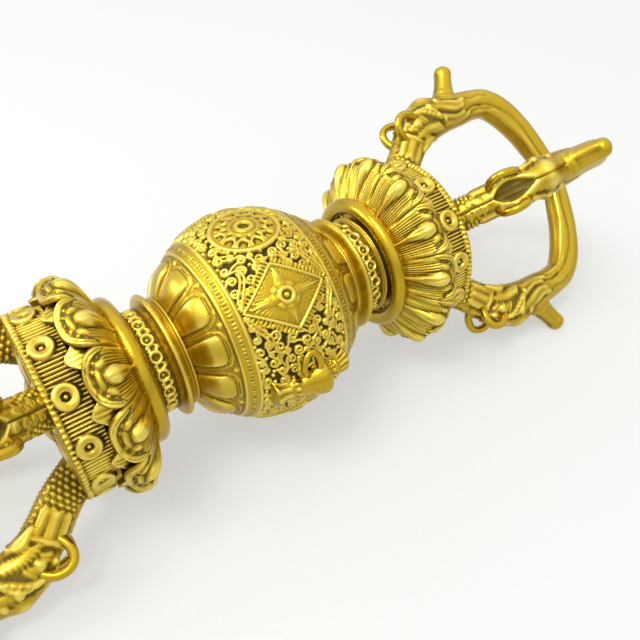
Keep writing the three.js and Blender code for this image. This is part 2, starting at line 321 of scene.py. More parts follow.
def outside(point, middle, kind, girth, gap):
    """Whether a scroll with a gap around it stays clear of one medallion."""
    side = (point[1] - middle + girth / 2) % girth - girth / 2
    if kind == "wheel":
        return math.hypot(point[0], side) > WHEEL_RADIUS - 0.2 + gap
    if kind == "lozenge":
        inward = 1 - abs(point[0] - LOZENGE_AT) / LOZENGE_HALF - abs(side) / LOZENGE_WIDE
        return inward * 7.6 < -gap - 0.4
    side += VASE_DROP
    in_bow = math.hypot((point[0] + 0.8) / 2.4, (side - 6.3) / 3.4) < 1
    return not in_bow and (abs(side) > 2.6 + gap * 0.5 or abs(point[0]) > 12.4)


def draw_waist():
    """The globe's waist: eight medallions over a dark ground filled with cloud scrolls and beads."""
    girth = 2 * math.pi * WAIST_RADIUS
    relief = Relief(np.linspace(-WAIST_END - 0.3, WAIST_END + 0.3, 105), 704, girth, ground=-0.5)
    sector = girth / len(MEDALLION_ORDER)
    medallions = [(i * sector, kind) for i, kind in enumerate(MEDALLION_ORDER)]

    def free(point, gap):
        return (abs(point[0]) < WAIST_END - gap * 0.7
                and all(outside(point, *medallion, girth, gap) for medallion in medallions))

    # The far half repeats the near one, so scrolls are drawn twice
    chance = np.random.default_rng(7)
    curls = []
    for gap, tries in ((1.75, 5000), (1.4, 4000), (1.05, 4000)):
        for _ in range(tries):
            point = (chance.uniform(-13, 13), chance.uniform(0, girth / 2))
            if free(point, gap) and all(math.dist(point, c[:2]) > (gap + c[2]) * 0.86 for c in curls):
                curls.append((*point, gap))
    for k, (along, across, gap) in enumerate(curls):
        heading, hand = chance.uniform(0, 2 * math.pi), chance.choice((-1, 1))
        for again in (0, girth / 2):
            tall = 0.72 + 0.08 * (k % 3)
            cloud(relief, (along, across + again), gap * 0.86, heading, hand, -0.3, 0.42, tall)
    dots = []
    for _ in range(9000):
        point = (chance.uniform(-13.2, 13.2), chance.uniform(0, girth / 2))
        near = min(math.dist(point, c[:2]) - c[2] for c in curls)
        if near > 0.55 and free(point, 0.3) and all(math.dist(point, dot) > 1.2 for dot in dots):
            dots.append(point)
            for again in (0, girth / 2):
                relief.ball((point[0], point[1] + again), 0.62, 0.7, -0.3)
    for middle, kind in medallions:
        if kind == "wheel":
            draw_wheel(relief, middle)
        elif kind == "lozenge":
            draw_ribbons(relief, middle)
            draw_lozenge(relief, middle)
    return relief


def draw_cap():
    """A globe cap: two lines with a row of beads between them, then plump petals with double borders."""
    relief = Relief(np.linspace(WAIST_END - 0.6, NECK_START, 54), PETALS * 40, 2 * math.pi * WAIST_RADIUS)
    p, q = relief.grid()
    part = q / relief.girth * PETALS
    half = math.pi * WAIST_RADIUS / PETALS * on_globe(p)[1]
    share = ((part + 0.5) % 1 - 0.5) * 2
    height = 0.45 * bump(p, 13.9, 0.48) + 0.34 * bump(p, 14.85, 0.34) + 0.34 * bump(p, 16.6, 0.34)
    height += 0.45 * bump(p, 17.55, 0.48)
    height += (0.1 + 0.4 * ease(np.cos(part * 12 * 2 * math.pi), -0.6, 0.3)) * bump(p, 15.72, 0.55)
    side = (1 - np.abs(share)) * half
    top = p - PETALS_START - 0.1 - 3.8 * np.abs(share) ** 4
    # How far inside the petal's outline, with the corner between its side and its top rounded
    blend = 1.6
    inside = -np.log(np.exp(-blend * side) + np.exp(-blend * top)) / blend
    lines = 0.34 * bump(inside, 0.3, 0.3) + 0.3 * bump(inside, 0.95, 0.26)
    panel = ease(inside, 1.15, 1.75)
    dome = np.sqrt(clamp(1 - (share / 0.96) ** 2)) * ease(top, -0.6, 5.0)
    fade = 0.35 + 0.65 * ease(p, NECK_START + 1.5, NECK_START - 8)
    petal = lines + panel * (0.15 + 1.15 * dome * fade)
    filler = np.hypot((p - PETALS_START - 0.7) / 0.85, side / 0.75)
    petal = np.where(inside < 0.05, petal + 0.34 * bump(filler, 0, 1.0), petal)
    relief.height = np.where(p > PETALS_START - 0.4, petal, height)
    return relief


# A treasure vase from foot to mouth, as distances along the shaft and radii
VASE_OUTLINE = [
    (-11.8, 0.4), (-11.8, 3.4), (-11.0, 3.7), (-10.1, 3.0), (-8.6, 2.5), (-6.8, 2.7), (-5.6, 3.3),
    (-4.5, 2.8), (-3.6, 2.5), (-1.8, 3.4), (0.2, 4.5), (2.2, 5.1), (3.6, 4.8), (4.7, 3.4), (5.3, 2.5),
    (5.9, 3.2), (6.5, 2.5), (7.1, 3.0), (7.6, 2.6), (8.9, 2.8), (10.1, 3.1), (11.1, 3.4), (11.6, 2.8),
    (11.4, 0.4)]
# Its bow: distance along the shaft, offset upwards, and height over the globe; then its radii
BOW_PATH = [
    (-1.0, 2.6, 1.4), (-2.5, 4.4, 2.2), (-2.9, 6.6, 2.5), (-1.8, 8.7, 2.4), (0.1, 9.5, 2.2), (1.6, 8.1, 2.3),
    (1.9, 5.6, 2.4), (1.0, 3.0, 2.0)]
BOW_SIZES = [0.9, 0.85, 0.8, 0.8, 0.95, 1.0, 1.0, 0.9]
# A neck from the globe's collar to the plain ring, as distances along the shaft and radii
NECK_LINE = [
    (25.0, 13.4), (25.3, 14.6), (25.8, 15.5), (26.2, 15.5), (26.6, 15.0), (26.8, 14.8), (27.2, 15.4),
    (28.0, 16.8), (28.7, 17.5), (29.3, 17.5), (29.9, 16.8), (30.5, 15.2), (30.8, 14.2), (31.0, 13.7),
    (33.2, 13.7), (35.4, 13.8), (35.6, 14.4), (35.8, 14.7), (36.0, 14.4), (36.15, 14.5), (36.4, 15.2),
    (36.65, 15.0), (36.85, 14.2), (37.2, 13.3), (38.2, 13.1), (39.0, 13.4)]


def draw_neck_bosses(relief, middle):
    """A row of ringed bosses with scrolls and dots between them."""
    pitch = relief.girth / BOSSES
    ring = np.linspace(0, 2 * math.pi, 19)
    for i in range(BOSSES):
        # The row starts a little short of one pitch round from the near side
        at = (i + 0.8) * pitch
        circle = np.stack([middle + 1.45 * np.cos(ring), at + 1.4 * np.sin(ring)], 1)
        relief.bar(circle, 0.55, 0.95, 0.0)
        if i % 3:
            relief.ball((middle, at), 0.55, 0.6, 0.0)
        between = at + pitch / 2
        for side in (-1, 1):
            hook = curl((middle + side * 1.15, between - side * 0.2), 0.8, side * 1.4, side, 0.75)
            relief.bar(hook, 0.4, 0.7, 0.0)
        relief.ball((middle - 1.8, at + 0.9), 0.4, 0.5, 0.0)


# Middle lines from the ring outwards, as distances along the shaft and radii: a leaf's, and a small fan's
CROWN_LINE = [
    (39.2, 17.2), (40.4, 19.9), (41.8, 22.6), (43.3, 25.1), (45.0, 27.3), (46.8, 28.9), (48.4, 29.5),
    (49.9, 29.0), (51.1, 27.8), (52.0, 26.4)]
FAN_LINE = [(44.0, 22.6), (46.5, 25.0), (49.0, 26.2), (51.2, 26.2), (53.6, 25.5)]
# Length of a leaf on the scale that its relief is drawn to
LEAF_RUN = 17.4


def leaf_height(run, share):
    """Relief of one leaf: a plump turned tip, nested flutes and a rolled border with a hollow behind it."""
    size = np.hypot(np.maximum(run - 10.6, 0) / 6.4, share)
    swell = ease(run, 2.5, 11.0)
    reach = 0.1 + 0.22 * swell
    length = np.maximum(run - 10.4, 0) / 2.6
    tongue = clamp(1 - (share / reach) ** 2 - length ** 2) ** 0.6
    height = (0.55 + 1.6 * swell) * tongue
    height -= 0.25 * bump(share, 0.06, 0.05) * ease(tongue, 0.3, 0.8) * ease(run, 6, 9)
    # Fine flutes that follow the leaf's outline round behind the turned tip
    flute = np.cos((size - 0.4) * 2 * math.pi / 0.112) * ease(size, 0.1, 0.26) * ease(size, 0.88, 0.82)
    height += 0.34 * flute * ease(run, 0.2, 1.6) * (1 - ease(run, 10.6, 11.8)) * (1 - 0.8 * tongue)
    hollow = ease(run, 10.6, 12.0) * ease(size, 0.34, 0.44) * ease(size, 0.84, 0.76)
    height -= 0.5 * hollow
    # Round petals about the turned tip, and a row of beads between them and the border
    about = np.arctan2(share, np.maximum(run - 10.6, 0) / 6.4 + 1e-6)
    petals = bump(size, 0.5, 0.14) * np.abs(np.cos(2.5 * about)) ** 0.5
    beads = bump(size, 0.705, 0.055) * ease(np.cos(15 * about), -0.5, 0.6)
    height += hollow * (0.75 * petals + 0.4 * beads)
    height += 0.5 * bump(size, 0.94, 0.06) * ease(run, 4, 10)
    height += 0.42 * bump(size, 0.82, 0.05) * ease(run, 5, 10)
    height -= 0.5 * ease(np.abs(share), 0.88, 1.0) * (1 - ease(run, 9, 12.5)) * ease(run, 2, 7)
    return height, hollow * (0.3 - 0.6 * petals)


def on_near_side(x, out, above):
    """Points from a distance along the shaft, one from it towards the near side, and a height over it."""
    return np.stack([x, -out, SHAFT_HEIGHT + above], -1)


def place_round(x, radius, angle):
    """Points from a distance along the shaft, a radius and an angle counted from the near side upwards."""
    return on_near_side(x, radius * np.cos(angle), radius * np.sin(angle))


def offset_profile(line, height):
    """A profile line in (along, radius), pushed outwards by a height field; returns both coordinates."""
    slope = unit(np.gradient(line, axis=0))
    return line[:, :1] - slope[:, 1:] * height, line[:, 1:] + slope[:, :1] * height


def laid_along(line, run, places, height, back=0):
    """Points at places along a profile line, raised by a height and drawn back; returns both coordinates."""
    slope = unit(np.gradient(line, axis=0))
    x, r, tx, tr = (np.interp(places, run, column) for column in (*line.T, *slope.T))
    return x - tr * height - tx * back, r + tx * height - tr * back


def closed_piece(name, points, hollow, state):
    """A closed skin from rows of points around something: grid, seam and end poles merged, faces outwards."""
    rows, columns = points.shape[:2]
    first, last = (np.broadcast_to(row.mean(0), (1, columns, 3)) for row in (points[0], points[-1]))
    body = np.concatenate([first, points, last]) * MM
    depth = np.concatenate([hollow[:1], hollow, hollow[-1:]])
    body, depth = (np.concatenate([field, field[:, :1]], 1) for field in (body, depth))
    skin = bmesh.new()
    bmesh.ops.create_grid(skin, x_segments=columns, y_segments=rows + 1, size=0.5)
    # The hollow layer holds how hollow each point lies, for the patina, with painted shade added
    layer = skin.verts.layers.float.new("hollow")
    for vertex, place, value in zip(skin.verts, body.reshape(-1, 3).tolist(), depth.ravel().tolist()):
        vertex.co = place
        vertex[layer] = value
    edge = [vertex for vertex in skin.verts if vertex.is_boundary]
    bmesh.ops.remove_doubles(skin, verts=edge, dist=1e-7)
    bmesh.ops.recalc_face_normals(skin, faces=skin.faces)
    return kept(name, skin, state)


def kept(name, shape, state):
    """Turns a bmesh into a piece of the casting in one state of finish."""
    for face in shape.faces:
        face.smooth = True
    mesh = bpy.data.meshes.new(name)
    shape.to_mesh(mesh)
    shape.free()
    mesh.materials.append(finish(state))
    return add_piece(name, mesh)


def add_piece(name, mesh):
    """Adds a mesh to the scene as a piece of the casting."""
    piece = bpy.data.objects.new(name, mesh)
    bpy.context.scene.collection.objects.link(piece)
    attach(piece, "root")
    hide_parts(NODE)
    return piece


def turned_copy(piece, name, matrix):
    """A copy of a piece, turned in its mesh; a horn's tip is worn flat where it meets the floor."""
    mesh = piece.data.copy()
    mesh.name = name
    mesh.transform(matrix)
    places = np.empty(len(mesh.vertices) * 3)
    mesh.vertices.foreach_get("co", places)
    places[2::3] = np.maximum(places[2::3], 0)
    mesh.vertices.foreach_set("co", places)
    return add_piece(name, mesh)


def about_shaft(degrees, other_end=False):
    """Turns about the shaft's axis, and to the other end by half a turn about the upright."""
    lift = Matrix.Translation((0, 0, SHAFT_HEIGHT * MM))
    turn = Matrix.Rotation(math.radians(-degrees), 4, "X")
    flip = Matrix.Rotation(math.pi if other_end else 0, 4, "Z")
    return flip @ lift @ turn @ lift.inverted()


def at_both_ends(piece):
    """Repeats a piece of the right end at the left end."""
    turned_copy(piece, piece.name.replace("right", "left"), about_shaft(0, True))


# Materials

def linear(code):
    """Turns an sRGB hex code into a linear colour."""
    parts = [int(code[i:i + 2], 16) / 255 for i in (1, 3, 5)]
    return tuple(c / 12.92 if c <= 0.04045 else ((c + 0.055) / 1.055) ** 2.4 for c in parts) + (1.0,)


def add_node(tree, kind, settings=None, **links):
    """Adds a node with its settings; links give an input's name, or i and its number, a value or a socket."""
    node = tree.nodes.new(kind)
    for key, value in (settings or {}).items():
        setattr(node, key, value)
    for key, value in links.items():
        socket = node.inputs[int(key[1:]) if key[1:].isdigit() else key.replace("_", " ")]
        if isinstance(value, bpy.types.NodeSocket):
            tree.links.new(value, socket)
        else:
            socket.default_value = value
    return node


def ranged(tree, value, start, end, low, high, kind="SMOOTHSTEP"):
    """Maps a value from one range to another."""
    return add_node(tree, "ShaderNodeMapRange", {"interpolation_type": kind}, Value=value, From_Min=start,
                    From_Max=end, To_Min=low, To_Max=high).outputs[0]


def blended(tree, share, first, second):
    """Mixes two colours by a share."""
    return add_node(tree, "ShaderNodeMix", {"data_type": "RGBA"}, i0=share, i6=first, i7=second).outputs[2]


def noise(tree, scale, detail=2.0):
    """Noise in the piece's own coordinates; its scale counts patches to the metre."""
    place = add_node(tree, "ShaderNodeTexCoord").outputs["Object"]
    return add_node(tree, "ShaderNodeTexNoise", Vector=place, Scale=scale, Detail=detail).outputs["Fac"]


def empty_tree(owner):
    """The node tree of a material or a world, emptied."""
    owner.use_nodes = True
    owner.node_tree.nodes.clear()
    return owner.node_tree


def brass_finish(name, roughness, patina):
    """Cast brass, satin from hand buffing: warm yellow metal, brown-olive patina left in the recesses, with
    painted shade darkening it further under leaves, behind rings and in the prongs' hollows.
    """
    material = bpy.data.materials.new(name)
    tree = empty_tree(material)
    hollow = add_node(tree, "ShaderNodeAttribute", {"attribute_name": "hollow"}).outputs["Fac"]
    # Blotches of tarnish about 6 mm wide, and cast grain about 0.5 mm wide
    blotch, grain = noise(tree, 160.0, 3.0), noise(tree, 1900.0)
    add_up = {"operation": "MULTIPLY_ADD"}
    uneven = add_node(tree, "ShaderNodeMath", add_up, i0=grain, i1=0.35, i2=hollow).outputs[0]
    # Darkens by the patina in the hollows together with the painted shade that the pieces carry
    patina_and_shade = ranged(tree, uneven, 0.20, 0.85, 0.0, patina)
    rub = ranged(tree, hollow, -0.02, -0.5, 0.0, 1.0)
    body = blended(tree, blotch, linear("#B09016"), linear("#C0A12A"))
    worn = blended(tree, rub, body, linear("#DDC656"))
    # The brown-olive colour stands for both the patina and the painted shade
    coloured = blended(tree, patina_and_shade, worn, linear("#4A3D0C"))
    dull = ranged(tree, patina_and_shade, 0.0, 1.0, roughness, 0.75, "LINEAR")
    soft = add_node(tree, "ShaderNodeMath", add_up, i0=blotch, i1=0.1, i2=dull).outputs[0]
    metal = ranged(tree, patina_and_shade, 0.0, 1.0, 1.0, 0.85, "LINEAR")
    relief = add_node(tree, "ShaderNodeBump", Strength=0.3, Distance=0.0002, Height=grain).outputs[0]
    shader = add_node(tree, "ShaderNodeBsdfPrincipled", Base_Color=coloured, Roughness=soft, Metallic=metal,
                      Normal=relief, Coat_Weight=0.14, Coat_Roughness=0.22)
    add_node(tree, "ShaderNodeOutputMaterial", Surface=shader.outputs[0])
    return material


def floor_finish(colour):
    """White acrylic sheet lit from below: matt, with no pattern, its light keeping the shadows pale."""
    material = bpy.data.materials.new("White acrylic, lit from below")
    tree = empty_tree(material)
    tone = blended(tree, noise(tree, 600.0), (*colour, 1.0), linear("#919291"))
    shader = add_node(tree, "ShaderNodeBsdfPrincipled", Base_Color=tone, Roughness=0.9,
                      Emission_Color=linear("#FFFFFC"), Emission_Strength=0.46)
    add_node(tree, "ShaderNodeOutputMaterial", Surface=shader.outputs[0])
    return material


def finish(state):
    """The brass in one state of finish, made when first asked for."""
    return bpy.data.materials.get(state) or brass_finish(state, *FINISHES[state])


# Prongs

# Middle line and section of an outer prong: distance along the shaft, radius, half depth, half width
PRONG_STATIONS = [
    (56.99, 16.0, 5.3, 4.8), (66.2, 21.6, 5.3, 4.7), (72.0, 26.8, 5.6, 4.6), (77.8, 31.9, 6.7, 5.2),
    (84.2, 33.3, 6.5, 5.4), (90.7, 34.0, 6.2, 5.2), (97.1, 33.8, 5.7, 4.6), (103.5, 33.6, 5.1, 4.2),
    (109.7, 32.2, 5.0, 4.1), (114.9, 27.3, 5.0, 4.0), (119.0, 19.8, 4.7, 3.8), (121.8, 11.6, 4.3, 3.6),
    (124.6, 2.1, 3.5, 3.1)]
# The same for its horn
HORN_STATIONS = [
    (93.4, 36.0, 5.8, 4.6), (94.5, 38.6, 4.3, 3.8), (95.7, 41.2, 3.3, 3.2), (96.9, 43.6, 2.9, 3.0),
    (97.8, 45.4, 2.8, 2.9), (98.5, 46.8, 2.9, 2.9), (99.0, 47.8, 2.6, 2.6), (99.35, 48.5, 1.9, 1.9),
    (99.6, 48.95, 0.7, 0.7)]
# A wire loop beside the head: distance along the shaft, distance from it, and offset sideways; then its radii
LOOP_PATH = [
    (70.4, 29.4, 3.2), (69.2, 31.8, 4.4), (69.0, 34.2, 5.0), (70.0, 36.2, 5.3), (72.1, 37.1, 5.1),
    (74.4, 36.9, 4.7), (76.4, 35.7, 3.9), (77.9, 34.0, 3.0)]
LOOP_SIZES = [1.5, 1.35, 1.25, 1.2, 1.25, 1.35, 1.45, 1.5]
# A centre prong up to its bud: distance along the shaft, radius
CENTRE_STEM = [
    (60.5, 4.0), (63.5, 3.9), (65.0, 3.0), (66.4, 3.5), (68.0, 2.5), (74.0, 2.3), (90.0, 2.4), (106.0, 2.3),
    (118.0, 2.4), (124.0, 2.8), (126.5, 3.6)]


def makara_relief(run, columns):
    """Carving of a prong: scaled neck, feather bars, makara head, then a smooth keeled arc."""
    girth = 30.0
    relief = Relief(run, columns, girth)
    s, q = relief.grid()
    turn = q / girth * 360
    # Distance around from the outer side, mirrored, so that both flanks match
    flank = np.minimum(turn, 360 - turn)
    side = flank / 360 * girth
    # Scales: rows of small domes, every other row set half a pitch over
    row = np.floor(s / 1.4)
    scale_s = ((s / 1.4) % 1 - 0.5) * 1.4
    scale_q = ((side / 1.6 + 0.5 * (row % 2)) % 1 - 0.5) * 1.6
    dome = clamp(1 - (scale_s ** 2 + scale_q ** 2) / 0.72 ** 2) ** 0.5
    height = (0.85 * dome - 0.2) * ease(s, 2, 4) * ease(flank, 140, 134)
    height *= ease(s, 14.6, 13.2) * ease(flank, 34, 42)
    # Hatched belly with a row of beads beside it
    belly = ease(flank, 146, 152)
    height += 0.24 * belly * np.cos(s * 2 * math.pi / 1.05) * ease(s, 3, 5) * ease(s, 25, 20)
    beads = 0.5 * bump(flank, 141, 8) * ease(np.cos(s * 2 * math.pi / 1.6), -0.5, 0.5)
    height += beads * ease(s, 3, 5) * ease(s, 21, 18)
    relief.height = height
    degree = girth / 360
    # Curls chased along the outer side, up to the dark hollow
    for k in range(6):
        for hand in (1, -1):
            middle = (3.2 + 2.7 * k + 0.7 * hand, 19 * hand * degree)
            cloud(relief, middle, 1.25, 2.1 * k, hand, -0.15, 0.36, 0.55)

    # Both of these draw on the two flanks, with places given in mm along and degrees from the outer side
    def both(path, width, tall, base=0.0, cut=False):
        path = np.array(path, float)
        for hand in (1, -1):
            relief.bar(path * (1, hand * degree), width, tall, base, cut)

    def balls(*places):
        for along, angle, size in places:
            for hand in (1, -1):
                relief.ball((along, hand * angle * degree), size, size * 0.85, 0.05)

    # Three feather tips side by side on each flank, and a collar of short bars behind them
    for middle in (57, 85, 113):
        both([(14.4, middle), (19.4, middle - 2)], (1.3, 1.2), 0.85, -0.1)
    for middle in (50, 76, 100):
        both([(20.6, middle - 9), (20.9, middle + 9)], 0.9, 0.8)
    # Long smooth petal along the jaw, and two rows of hatching beside it
    both(spline([(18.6, 126), (21.5, 131), (25.5, 141), (29.5, 150)], 6), np.concatenate([
        np.linspace(0.6, 1.9, 9), np.linspace(1.9, 0.6, 10)]), 1.3)
    for k in range(9):
        both([(21.8 + k * 1.3, 92 + k * 2.4), (23.6 + k * 1.3, 116 + k * 2.6)], 0.5, 0.7)
    for k in range(5):
        both([(23.0 + k * 1.2, 66 + k * 1.5), (23.8 + k * 1.2, 84 + k * 1.5)], 0.45, 0.55)
    # Pointed ear with a toothed hollow, an eye and beads about it, and hatching on the brow
    ear = spline([(27.0, 52), (29.2, 64), (32.0, 84), (34.6, 100), (33.4, 82), (31.0, 62), (27.0, 52)], 6)
    both(ear, 0.5, 0.95)
    for k in range(4):
        both([(29.0 + k * 1.15, 64 + k * 8.0), (30.4 + k * 1.05, 61 + k * 8.0)], 0.36, 0.45, cut=True)
    balls((25.6, 78, 1.1), (32.2, 64, 1.2), (36.4, 52, 0.9), (36.0, 110, 0.9), (24.2, 50, 0.8))
    for k in range(5):
        both([(28.4 + k * 1.4, 40 - k), (29.6 + k * 1.4, 54 - k)], 0.4, 0.4, cut=True)
    # Folds of cheek and mane behind the ear
    for fold in (((34.0, 70), (37.0, 78), (40.0, 90), (43.5, 96), (46.0, 88)),
                 ((35.5, 100), (38.5, 112), (42.0, 120), (45.5, 112)),
                 ((36.5, 60), (40.0, 68), (43.5, 78), (47.0, 72)),
                 ((36.0, 128), (40.0, 136), (44.0, 134), (47.5, 124))):
        both(spline(fold, 6), 0.75, 0.42)
    for cut in (((35.0, 86), (38.0, 98), (41.5, 107), (45.0, 102)), ((38.5, 56), (42.0, 64), (45.0, 66)),
                ((47.5, 68), (50.5, 76), (53.5, 70), (57.0, 76)), ((46.5, 112), (50.0, 104), (54.0, 108)),
                ((48.0, 128), (52.0, 122), (56.0, 126), (60.0, 122))):
        both(spline(cut, 6), 0.34, 0.32, cut=True)
    # Boat-shaped dark hollow between the loops, and the smooth knob of the forehead
    boat = flank / (40 * clamp(1 - ((s - 24.0) / 4.6) ** 2) + 1e-3)
    relief.height = relief.height * ease(boat, 0.85, 1.1) - 1.5 * np.sqrt(clamp(1 - boat ** 2))
    relief.height += 0.35 * bump(boat, 1.12, 0.16) + 0.25 * bump(flank, 12, 5) * (boat < 0.8)
    # Painted shade in that hollow, and between the scales next to the band
    relief.painted_shade = 0.9 * ease(boat, 1.0, 0.75) + 0.45 * ease(s, 13, 6)
    knob = np.exp(-((s - 33.0) / 3.4) ** 2 - (flank / 56) ** 2)
    keep = 1 - 0.9 * ease(knob, 0.25, 0.7)
    relief.height = relief.height * keep + 1.9 * knob
    # A soft keel on each flank of the arc towards its inner side, with a crease beside it
    along_arc = ease(s, 46, 54) * ease(s, 93, 86)
    keel = 0.3 * bump(flank, 134 + 3 * np.sin(s * 0.3), 16) + 0.2 * bump(flank, 66, 26)
    crease = 0.2 * bump(flank, 106 + 5 * np.sin(s * 0.24), 7)
    relief.height += (keel - crease) * along_arc
    return relief


def swept(stations, rows, columns, relief_of, dense=1.0):
    """A bar along a path in the prong's plane; returns points at the near side and how hollow each lies, with
    the carving's painted shade added.
    """
    fine, reach = spread_evenly(spline(stations, 24), 600)
    # Rows lie closer together at the start, where the carving is, when dense is below 1
    share = np.linspace(0, 1, rows)
    run = reach[-1] * (dense * share + (1 - dense) * share ** 2)
    line = resampled(fine, reach, run)
    # The carving is drawn twice as finely as the mesh and averaged
    relief = relief_of(np.interp(np.arange(2 * rows - 1) / 2, np.arange(rows), run), 2 * columns)
    height = blurred(relief.height, 1)[::2, ::2]
    painted_shade = np.broadcast_to(relief.painted_shade, relief.height.shape)[::2, ::2]
    tangent = unit(np.gradient(line[:, :2], run, axis=0))
    # The section is a little fuller than an ellipse
    turn = around(columns)
    out, aside = (np.sign(wave) * np.abs(wave) ** 0.92 for wave in (np.cos(turn), np.sin(turn)))
    depth = (line[:, 2:3] + height) * out
    width = (line[:, 3:] + height) * aside
    points = on_near_side(line[:, :1] - tangent[:, 1:] * depth, line[:, 1:2] + tangent[:, :1] * depth, width)
    return points, clamp(hollows(height, 3, 0.5) + painted_shade, -1, 1)


def horn_relief(run, columns):
    """A horn with a groove down its outer side and a few soft rings near its foot."""
    relief = Relief(run, columns, 2 * math.pi)
    s, turn = relief.grid()
    groove = bump(np.abs(turn - math.pi), math.pi, 0.35) * ease(s, 3, 5) * ease(s, 12.5, 11)
    relief.height = 0.12 * np.cos(s * 2 * math.pi / 2.1) * ease(s, 7, 3) - 0.35 * groove
    return relief


def tube(path, sizes, rows):
    """A tube of changing thickness along a path in space, and a hollow share of nought."""
    line, places = spread_evenly(spline(path, 12), rows, 3)
    sizes = spline(np.asarray(sizes, float)[:, None], 12)[:, 0]
    size = np.interp(places, np.linspace(0, places[-1], len(sizes)), sizes)
    tangent = unit(np.gradient(line, axis=0))
    # The way across the loop that the path makes
    guide = np.linalg.svd(line - line.mean(0))[2][2]
    first = unit(np.cross(tangent, guide))
    second = np.cross(tangent, first)
    turn = around(12)[:, None]
    ring = first[:, None] * np.cos(turn) + second[:, None] * np.sin(turn)
    return line[:, None] + ring * size[:, None, None], np.zeros((rows, len(turn)))


def length(name, description, default):
    """A property that holds a length in metres."""
    return FloatProperty(name=name, description=description, default=default, unit="LENGTH")


class VajraSizes(bpy.types.PropertyGroup):
    globe_radius: length("Globe radius", "Half the width of the globe", 0.0293)
    ring_radius: length("Ring radius", "Radius of the plain rings' middle line", RING_RADIUS * MM)
    ring_wire: length("Ring thickness", "Radius of the plain rings' round section", RING_WIRE * MM)
    bud_radius: length("Bud radius", "Half the width of the centre prongs' buds", 0.0048)
    floor_side: length("Floor side", "Side of the square floor", 6.0)
    floor_colour: FloatVectorProperty(name="Floor colour", description="Colour of the pale floor",
                                      default=linear("#8B8C8C")[:3], subtype="COLOR", size=3)
    prongs: IntProperty(name="Prongs", description="Outer prongs at each end", default=4)


class VAJRA_OT_globe(bpy.types.Operator):
    """Models the globe: carved waist, two petal caps and two treasure vases"""
    bl_idname = "vajra.globe"
    bl_label = "Globe"

    def execute(self, context):
        radius = context.scene.vajra_sizes.globe_radius / MM

        def skin(relief):
            x, share = on_globe(relief.along)
            xs, radii = offset_profile(np.stack([x, radius * share], 1), relief.height)
            return place_round(xs, radii, around(relief.columns))

        waist, cap = draw_waist(), draw_cap()
        closed_piece("globe_waist", skin(waist), hollows(waist.height, 4, 0.6), CARVED)
        at_both_ends(closed_piece("globe_cap_right", skin(cap), hollows(cap.height, 3, 0.4), SATIN))
        self.vases(radius)
        return {"FINISHED"}

    def vases(self, radius):
        """A vase lying along the globe: foot, plump body, jewelled collar, ribbed mouth, standing bow."""
        line = spread_evenly(spline(VASE_OUTLINE, 5), 84)[0]
        s, t = np.meshgrid(line[:, 0], around(48), indexing="ij")
        ribs = 0.3 * np.cos(12 * t) * ease(s, 7.6, 8.6) * ease(s, 11.5, 10.8)
        beads = (0.3 * bump(s, 5.9, 0.7) + 0.3 * bump(s, -5.6, 0.9)) * np.cos(12 * t)
        lobes = 0.55 * np.abs(np.cos(4 * t)) * ease(s, -6.6, -7.8) * ease(s, -12.0, -11.0)
        height = ribs + beads + lobes
        wide = line[:, 1:] + height
        x, share = on_globe(s)
        points = on_near_side(x, radius * share + 0.4 + wide * np.cos(t) * 0.92, wide * np.sin(t) - VASE_DROP)
        vase = closed_piece("vase_near", points, hollows(height, 2, 0.4), BUFFED)
        turned_copy(vase, "vase_far", about_shaft(180))
        path = [on_near_side(x, radius + up - 0.6 - 0.02 * side ** 2, side - VASE_DROP)
                for x, side, up in BOW_PATH]
        loop = closed_piece("vase_bow_near", *tube(path, BOW_SIZES, 40), BUFFED)
        turned_copy(loop, "vase_bow_far", about_shaft(180))


class VAJRA_OT_necks(bpy.types.Operator):
    """Models the two necks with their collars and bosses, and the plain rings"""
    bl_idname = "vajra.necks"
    bl_label = "Necks and rings"

    def execute(self, context):
        line, run = spread_evenly(spline(NECK_LINE, 6), 62)
        relief = Relief(run, BOSSES * 18, 2 * math.pi * NECK_RADIUS)
        draw_neck_bosses(relief, np.interp(BOSSES_AT, line[:, 0], run))
        xs, radii = offset_profile(line, relief.height)
        base = np.broadcast_to(line[:, 1:], relief.height.shape)
        # Painted shade in the throat next to the plain ring
        throat = (xs > 36.8) * clamp(0.5 * ease(base, 14.0, 13.3) * ease(xs, 36.2, 37.0) + 0.3)
        hollow = clamp(hollows(relief.height, 3, 0.4) + hollows(base, 4, 1.6) * 0.6 + throat, -1, 1)
        points = place_round(xs, radii, around(relief.columns))
        at_both_ends(closed_piece("neck_right", points, hollow, SATIN))
        self.rings(context.scene.vajra_sizes)
        return {"FINISHED"}

    def rings(self, sizes):
        """The plain rings: a circle turned about the shaft."""
        ring = bmesh.new()
        section = []
        for angle in around(28):
            x = RING_AT * MM + sizes.ring_wire * math.cos(angle)
            z = SHAFT_HEIGHT * MM + sizes.ring_radius + sizes.ring_wire * math.sin(angle)
            section.append(ring.verts.new((x, 0, z)))
        edges = [ring.edges.new((section[i - 1], section[i])) for i in range(len(section))]
        bmesh.ops.spin(ring, geom=section + edges, cent=(0, 0, SHAFT_HEIGHT * MM), axis=(1, 0, 0),
                       angle=2 * math.pi, steps=144, use_merge=True)
        bmesh.ops.recalc_face_normals(ring, faces=ring.faces)
        at_both_ends(kept("ring_right", ring, BUFFED))


